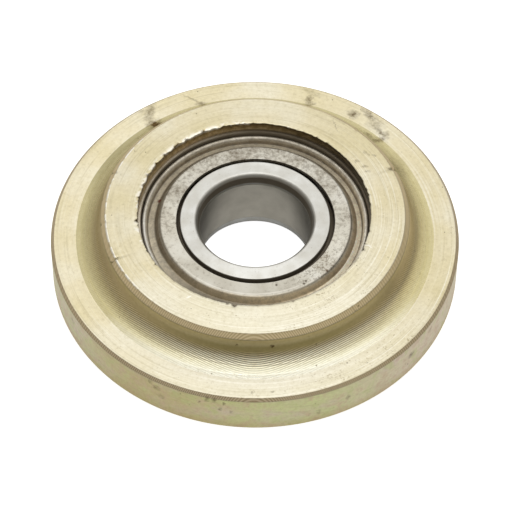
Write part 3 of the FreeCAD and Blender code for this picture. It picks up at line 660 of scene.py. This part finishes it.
# The grime's brown is darker towards the top of the wall.
dark_by_place = node(tree, "TexNoise", {"Vector": spot["place"], "Scale": 1.2, "Detail": 5.0})
dark_by_place = node(tree, "Math", (dark_by_place, -2.4, rise), operation="MULTIPLY_ADD")
dark_by_place = node(tree, "MapRange", (dark_by_place, 9.0, 7.4))
dark_by_place = node(tree, "ValToRGB", {"Fac": dark_by_place},
               stops=((0.0, "#594b32"), (0.5, "#79694b"), (1.0, "#9d8e73")))
grime_and_shade = node(tree, "VectorMath", {0: dark_by_place, "Scale": grime_and_shade}, operation="SCALE")
for share, colour in ((front_highlight, linear("#ffffff")), (in_fillet, fillet_colour_and_shade), (on_hub_edge, hub_edge),
                      (on_disc_edge, shaded_disc_edge), (on_rim, rim), (in_pocket, grime_and_shade)):
    coat = node(tree, "Mix", {0: share, 6: coat, 7: colour}, 2, data_type="RGBA")
scored = node(tree, "MapRange", (lines, 0.51, 0.68, 0.0, 0.3))
polished = node(tree, "MapRange", (within((32.3, 33.7), (4.0, 4.7), 0.3), 0.0, 1.0, 1.0, 0.1))
scored = node(tree, "Math", (scored, polished), operation="MULTIPLY")
plain = node(tree, "Math", (in_fillet, on_rim), operation="MAXIMUM")
plain = node(tree, "MapRange", (plain, 0.0, 1.0, 1.0, 0.2))
scored = node(tree, "Math", (scored, plain), operation="MULTIPLY")
stained = node(tree, "MapRange", (mottle, 0.6, 0.8, 0.0, 0.4))

# Dark specks from road grit, a tenth to a third of a millimetre across, on every face.
cells = node(tree, "TexVoronoi", {"Vector": spot["place"], "Scale": 0.55}, None).outputs
chance = node(tree, "SeparateColor", (cells["Color"],))
grain = node(tree, "MapRange", (chance, 0.5, 1.0, 0.0, 0.1))
grain = node(tree, "Math", (grain, cells["Distance"]), operation="SUBTRACT")
gritty = node(tree, "MapRange", (grain, 0.0, 0.03, 0.0, 0.75))

# Scuffs and stains, each by its centre, half length, half width, turn and depth.
scuffs = (
    (-19.9, 28.7, 14.8, 1.7, 0.6, 80, 0.6), (-18.8, 25.7, 14.8, 1.1, 0.8, 10, 1.0),
    (-18.9, 25.7, 14.9, 0.7, 0.4, 20, 1.7),
    (-21.3, 28.9, 14.8, 0.9, 0.3, 20, 0.3), (-10.3, 30.9, 14.8, 0.7, 0.4, 0, 0.64),
    (-11.8, 31.9, 14.8, 1.4, 0.15, -30, 0.42), (10, 31.9, 14.8, 0.9, 0.45, 75, 0.68),
    (9.7, 31, 14.8, 0.45, 0.3, 0, 0.51), (10.6, 30.9, 14.8, 0.6, 0.3, 30, 0.51),
    (10.5, 33.9, 14.8, 1.5, 0.4, -32, 0.26), (18.3, 28.6, 14.8, 0.75, 0.65, 0, 0.81),
    (21.4, 28.2, 14.8, 1.5, 0.5, -52, 0.77), (22.4, 26.1, 14.8, 1.2, 0.8, 0, 0.38),
    (23.3, 24.2, 14.8, 1.3, 0.4, -48, 0.72), (23.8, 22.9, 14.8, 1, 0.4, 60, 0.72),
    (22.5, 22.2, 14.8, 1.1, 0.4, 0, 0.64), (26.6, 15.7, 15.2, 2.2, 1.0, -70, 0.35),
    (-0.25, -35.1, 14.8, 0.25, 0.18, 0, 0.5),
    (3.2, -35.05, 14.8, 0.25, 0.18, 0, 0.6), (21.2, 23.3, 14.9, 0.9, 0.3, -45, 0.6),
    (15.9, 22.2, 20.8, 1.5, 0.5, -30, 0.3), (14.7, 20.6, 20.8, 1.2, 0.1, -75, 0.5),
    (20.3, 14.0, 20.8, 0.5, 0.25, -40, 0.5), (21.7, 13.6, 20.8, 0.3, 0.2, 0, 0.5),
    (18.6, 12.1, 20.8, 0.4, 0.2, 20, 0.4), (19.8, 10.9, 20.8, 0.35, 0.25, 0, 0.5),
    (20.4, 9.8, 20.8, 0.3, 0.2, 0, 0.5), (19.4, 8.3, 20.8, 0.3, 0.2, 0, 0.4),
    (24.84, 10.5, 20.8, 0.6, 0.25, 0, 0.8), (-24.8, -10.7, 20.8, 0.5, 0.2, 20, 0.7),
    (-3.1, -27.7, 18.5, 0.13, 0.12, 0, 1.0), (3.2, -27.7, 18.1, 0.17, 0.15, 0, 1.0),
    (-8.1, -36.1, 13.8, 0.3, 0.3, 0, 0.8), (-7.0, -36.3, 13.9, 0.25, 0.3, 0, 0.8),
    (-5.2, -36.6, 13.3, 0.22, 0.2, 0, 0.8), (-9.5, -35.7, 12.6, 0.2, 0.2, 0, 0.8),
    (27.8, -24.4, 11.4, 0.5, 0.4, 40, 0.75),
    (-17.0, -32.9, 12.6, 0.3, 0.5, 60, 0.5), (-16.2, -33.2, 10.6, 0.25, 0.5, 60, 0.4),
    (-18.2, -32.2, 13.6, 0.3, 0.3, 0, 0.4), (-32.4, -17.9, 12.0, 0.3, 0.5, 0, 0.35),
    (31.2, -19.8, 12.6, 0.3, 0.3, 0, 0.4), (-5.8, -36.5, 11.6, 0.25, 0.2, 0, 0.7),
    (-4.0, -36.8, 11.0, 0.2, 0.2, 0, 0.7), (11.5, -35.2, 9.0, 0.3, 0.3, 0, 0.4),
    (16.6, -33.1, 10.6, 0.3, 0.3, 0, 0.4))
wander = node(tree, "TexNoise", {"Vector": spot["place"], "Scale": 1.5, "Detail": 4.0}, "Color")
astray = node(tree, "VectorMath", (wander, (1.4, 1.4, 0.6), spot["place"]), operation="MULTIPLY_ADD")
scuffed = 0.0
for x, y, z, long, wide, turn, depth in scuffs:
    near = node(tree, "Mapping",
                {"Vector": astray, "Location": (x + 0.7, y + 0.7, z + 0.3),
                 "Rotation": (0, 0, math.radians(turn)),
                 "Scale": (long, wide, min(0.45, 1.5 * wide))}, vector_type="TEXTURE")
    near = node(tree, "VectorMath", (near,), "Value", operation="LENGTH")
    near = node(tree, "MapRange", (near, 2.0, 0.5, 0.0, depth))
    scuffed = node(tree, "Math", (scuffed, near), operation="MAXIMUM")
broken = node(tree, "MapRange", (mottle, 0.38, 0.58, 0.5))
scuffed = node(tree, "Math", (scuffed, broken), operation="MULTIPLY")
for share, colour in ((scored, "#b0a57c"), (stained, "#aba180"), (gritty, "#6d6248"), (scuffed, "#57452a")):
    coat = node(tree, "Mix", {0: share, 6: coat, 7: linear(colour)}, 2, data_type="RGBA")

# Flecks of 0.4 mm that crowd on the right in front, and light lines where the flat faces catch the
# light there.
fleck = node(tree, "TexNoise", {"Vector": spot["place"], "Scale": 2.8, "Detail": 3.0, "Roughness": 0.7})
turned = ring_noise(tree, spot, 1.3, 4.5, 1.0)
right_front = side_of(tree, spot, 0.6, -0.8)
lit = node(tree, "MapRange", (right_front, -0.3, 0.6, 0.25))
crowd = node(tree, "MapRange", (right_front, 0.75, 1.0, 0.0, 0.05))
crowd = node(tree, "Math", (crowd, fleck), operation="ADD")
crowd = node(tree, "Math", (blotch, 0.5, crowd), operation="MULTIPLY_ADD")
flat = node(tree, "Math", (within((20.5, 27.2), (10.3, 11.0)), within((32.3, 36.6), (4.2, 4.6))),
            operation="ADD")
lit = node(tree, "Math", (lit, flat), operation="MULTIPLY")
for value, low, high, most, colour in ((crowd, 0.9, 0.98, 0.6, "#9c8c64"),
                                       (turned, 0.55, 0.68, 0.65, "#fdfbf0")):
    share = node(tree, "MapRange", (value, low, high, 0.0, most))
    share = node(tree, "Math", (share, lit), operation="MULTIPLY")
    coat = node(tree, "Mix", {0: share, 6: coat, 7: linear(colour)}, 2, data_type="RGBA")
tone = node(tree, "ValToRGB", {"Fac": mottle}, stops=((0.3, "#ffffff"), (0.7, "#efede6")))
coat = node(tree, "Mix", {0: 1.0, 6: coat, 7: tone}, 2, data_type="RGBA", blend_type="MULTIPLY")

# Bare metal, white and brighter than the coat, where the burr stands at the lip and the hub's edge is
# worn by rubbing; on the lip at the far left and on the hub's edge at the left the white is also a
# painted highlight.
flakes = node(tree, "Math", (ring_noise(tree, spot, 26.0, 1.5, 5.0), ring_noise(tree, spot, 7.0, 0.5)),
              operation="ADD")
clump = node(tree, "TexNoise", {"Vector": spot["place"], "Scale": 0.7, "Detail": 2.0})
bare = 0.0
for x, y, share in ((-0.75, 0.66, within((20.0, 21.75), (10.1, 11.0), 0.35)),
                    (-1.0, -0.15, within((26.7, 27.05), (10.2, 11.0)))):
    worn_white_and_glint = node(tree, "Math", (side_of(tree, spot, x, y), 0.8, flakes), operation="MULTIPLY_ADD")
    worn_white_and_glint = node(tree, "Math", (clump, 1.8, worn_white_and_glint), operation="MULTIPLY_ADD")
    worn_white_and_glint = node(tree, "MapRange", (worn_white_and_glint, 2.55, 2.75))
    worn_white_and_glint = node(tree, "Math", (worn_white_and_glint, share), operation="MULTIPLY")
    bare = node(tree, "Math", (bare, worn_white_and_glint), operation="MAXIMUM")
for x, y, long, wide, turn in ((19.9, -7.25, 0.75, 0.12, -5), (20.5, -7.6, 0.5, 0.1, -40),
                               (-11.5, -19.1, 0.5, 0.2, 30)):
    near = node(tree, "Mapping",
                {"Vector": spot["place"], "Location": (x, y, HUB_FACE),
                 "Rotation": (0, 0, math.radians(turn)), "Scale": (long, wide, 0.4)}, vector_type="TEXTURE")
    near = node(tree, "VectorMath", (near,), "Value", operation="LENGTH")
    near = node(tree, "MapRange", (near, 1.3, 0.7, 0.0, 0.9))
    bare = node(tree, "Math", (bare, near), operation="MAXIMUM")
coat = node(tree, "Mix", {0: bare, 6: coat, 7: linear("#f6f3e8")}, 2, data_type="RGBA")

# Gloss, which is duller up the fillet's wall, and lines, which are weaker in the fillet and on the rim.
dulled = node(tree, "MapRange", (lines, 0.0, 1.0, 0.32, 0.46))
glossy = node(tree, "MapRange", (climb, 0.26, 0.42, 0.72, 1.4))
glossy = node(tree, "Mix", {0: in_fillet, 2: 1.0, 3: glossy}, data_type="FLOAT")
dulled = node(tree, "Math", (dulled, glossy), operation="MULTIPLY")
strong = node(tree, "Math", (plain, 0.15), operation="MULTIPLY")
relief = node(tree, "Bump", {"Height": lines, "Strength": strong, "Distance": 0.03 * MM})
for socket, value in (("Base Color", coat), ("Roughness", dulled), ("Normal", relief)):
    tree.links.new(value, shader.inputs[socket])
roller_body.data.materials.append(zinc_steel)
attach(roller_body, "roller")
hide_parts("roller_body")

# Retaining ring, an open ring stamped from spring steel.
# It is squeezed by the holes in its two ends and springs out into the groove below the bearing.

# Phosphated spring steel: dark grey, dull, with a grain of half a millimetre.
spring_steel, tree, shader = new_metal("phosphated_spring_steel", 0.5)
spot = turned_spot(tree)
grain = node(tree, "TexNoise", {"Vector": spot["place"], "Scale": 2.0, "Detail": 5.0})
phosphate = node(tree, "ValToRGB", {"Fac": grain},
                 stops=((0.3, "#3a3835"), (0.55, "#4d4a46"), (0.75, "#6a6660")))
relief = node(tree, "Bump", {"Height": grain, "Strength": 0.3, "Distance": 0.03 * MM})
for socket, value in (("Base Color", phosphate), ("Normal", relief)):
    tree.links.new(value, shader.inputs[socket])
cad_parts["retaining_ring"].material_slots[0].material = spring_steel

# Studio floor: a sheet of white paper, wide enough to fill the picture from any side.
# Seen by the camera it glows white in a painted pool of light round the object, which fades further out
# and is raised to full white under the bore, and it keeps the object's shadow. Seen in the metal its glow
# is dimmed by a painted shadow close round the object, lighter under the bore and in a painted ring further
# out.
bpy.ops.mesh.primitive_plane_add(size=6.0, location=(0, 0, 0))
floor = bpy.context.object
floor.name = "studio_floor"
paper = bpy.data.materials.new("white_studio_paper")
paper.use_nodes = True
tree = paper.node_tree
tree.nodes.clear()
sheet = node(tree, "BsdfDiffuse", {"Color": linear("#dcdcdb")})
local = node(tree, "TexCoord", out="Object")
reach = node(tree, "VectorMath", (local,), "Value", operation="LENGTH")
# A painted pool of light, fading further out and full white under the bore.
pool = node(tree, "MapRange", (reach, 0.15, 0.7, 0.85, 0.25), interpolation_type="SMOOTHSTEP")
lit_under_bore = node(tree, "MapRange", (reach, 0.014, 0.03, 1.0, 0.0))
pool = node(tree, "Math", (pool, lit_under_bore), operation="MAXIMUM")
# Painted shadow and light on the floor as the metal sees it.
reflected_floor_shade = node(tree, "MapRange", (reach, 0.0, 0.1))
reflected_floor_shade = node(tree, "ValToRGB", {"Fac": reflected_floor_shade},
             stops=((0.0, 0.31), (0.07, 0.29), (0.1, 0.03), (0.33, 0.08), (0.5, 0.38), (0.62, 0.3),
                    (0.8, 0.1)))
rays = node(tree, "LightPath", out=None).outputs
seen = node(tree, "Math", (rays["Is Glossy Ray"], reflected_floor_shade), operation="MULTIPLY")
seen = node(tree, "Math", (rays["Is Camera Ray"], seen), operation="MAXIMUM")
seen = node(tree, "Math", (seen, rays["Is Transmission Ray"]), operation="MAXIMUM")
glow = node(tree, "Math", (seen, pool), operation="MULTIPLY")
white = node(tree, "Emission", {"Color": (1, 1, 1, 1), "Strength": glow})
both = node(tree, "AddShader", (sheet, white))
node(tree, "OutputMaterial", {"Surface": both}, None)
floor.data.materials.append(paper)

# Studio light: a long soft box overhead and a weak one across it, in a room of dim grey walls.
# The walls are brighter on the right above, and dimmer low down in front.
world = bpy.data.worlds.new("studio")
bpy.context.scene.world = world
world.use_nodes = True
tree = world.node_tree
tree.nodes.clear()
direction = node(tree, "TexCoord", out="Generated")
axes = node(tree, "SeparateXYZ", (direction,), None).outputs
side, front, height = axes["X"], axes["Y"], axes["Z"]
walls = node(tree, "ValToRGB", {"Fac": height}, stops=((0.0, 0.42), (0.5, 0.5), (1.0, 0.55)))
bright = node(tree, "MapRange", (side, -1.0, 1.0, 0.9, 1.25))
lower = node(tree, "MapRange", (side, -1.0, 1.0, 1.15, 0.75))
raised = node(tree, "MapRange", (height, 0.2, 0.45))
bright = node(tree, "Mix", {0: raised, 2: lower, 3: bright}, data_type="FLOAT")
facing = node(tree, "MapRange", (front, -0.3, -0.95))
low = node(tree, "MapRange", (height, 0.45, 0.15, 0.0, 0.65))
dim = node(tree, "Math", (facing, low), operation="MULTIPLY")
dim = node(tree, "Math", (1.0, dim), operation="SUBTRACT")
bright = node(tree, "Math", (bright, dim), operation="MULTIPLY")
shoulder = node(tree, "MapRange", (front, 0.05, -0.4, 0.0, 0.15))
high = node(tree, "MapRange", (height, 0.4, 0.65))
shoulder = node(tree, "Math", (shoulder, high, 1.0), operation="MULTIPLY_ADD")
bright = node(tree, "Math", (bright, shoulder), operation="MULTIPLY")
walls = node(tree, "Mix", {0: 1.0, 6: walls, 7: linear("#fffaf0")}, 2, data_type="RGBA",
             blend_type="MULTIPLY")
air = node(tree, "Background", {"Color": walls, "Strength": bright})
node(tree, "OutputWorld", {"Surface": air}, None)
for name, wide, long, energy, place in (("soft_box", 0.72, 1.5, 2.75, (0.0, 0.35, 0.9)),
                                        ("top_box", 1.2, 0.6, 0.5, (0.03, 0.0, 0.89))):
    light = bpy.data.lights.new(name, "AREA")
    light.shape = "RECTANGLE"
    light.size, light.size_y = wide, long
    light.energy = energy
    lamp = bpy.data.objects.new(name, light)
    lamp.location = place
    bpy.context.scene.collection.objects.link(lamp)

# Camera at the photograph's viewing angle: a long lens from in front and above.
# It is rolled by less than half a degree, as the picture is.
camera = bpy.data.objects.new("camera", bpy.data.cameras.new("camera"))
bpy.context.scene.collection.objects.link(camera)
camera.data.sensor_width = 36.0
camera.data.lens = 197.2
camera.data.clip_start = 0.01
camera.data.clip_end = 20.0
camera.location = (0.00004, -0.31376, 0.4121)
camera.rotation_euler = (math.radians(90 - 52.149), 0, 0)
camera.rotation_euler.rotate_axis("Z", math.radians(0.44))
bpy.context.scene.camera = camera
bpy.context.scene.view_settings.view_transform = "Standard"
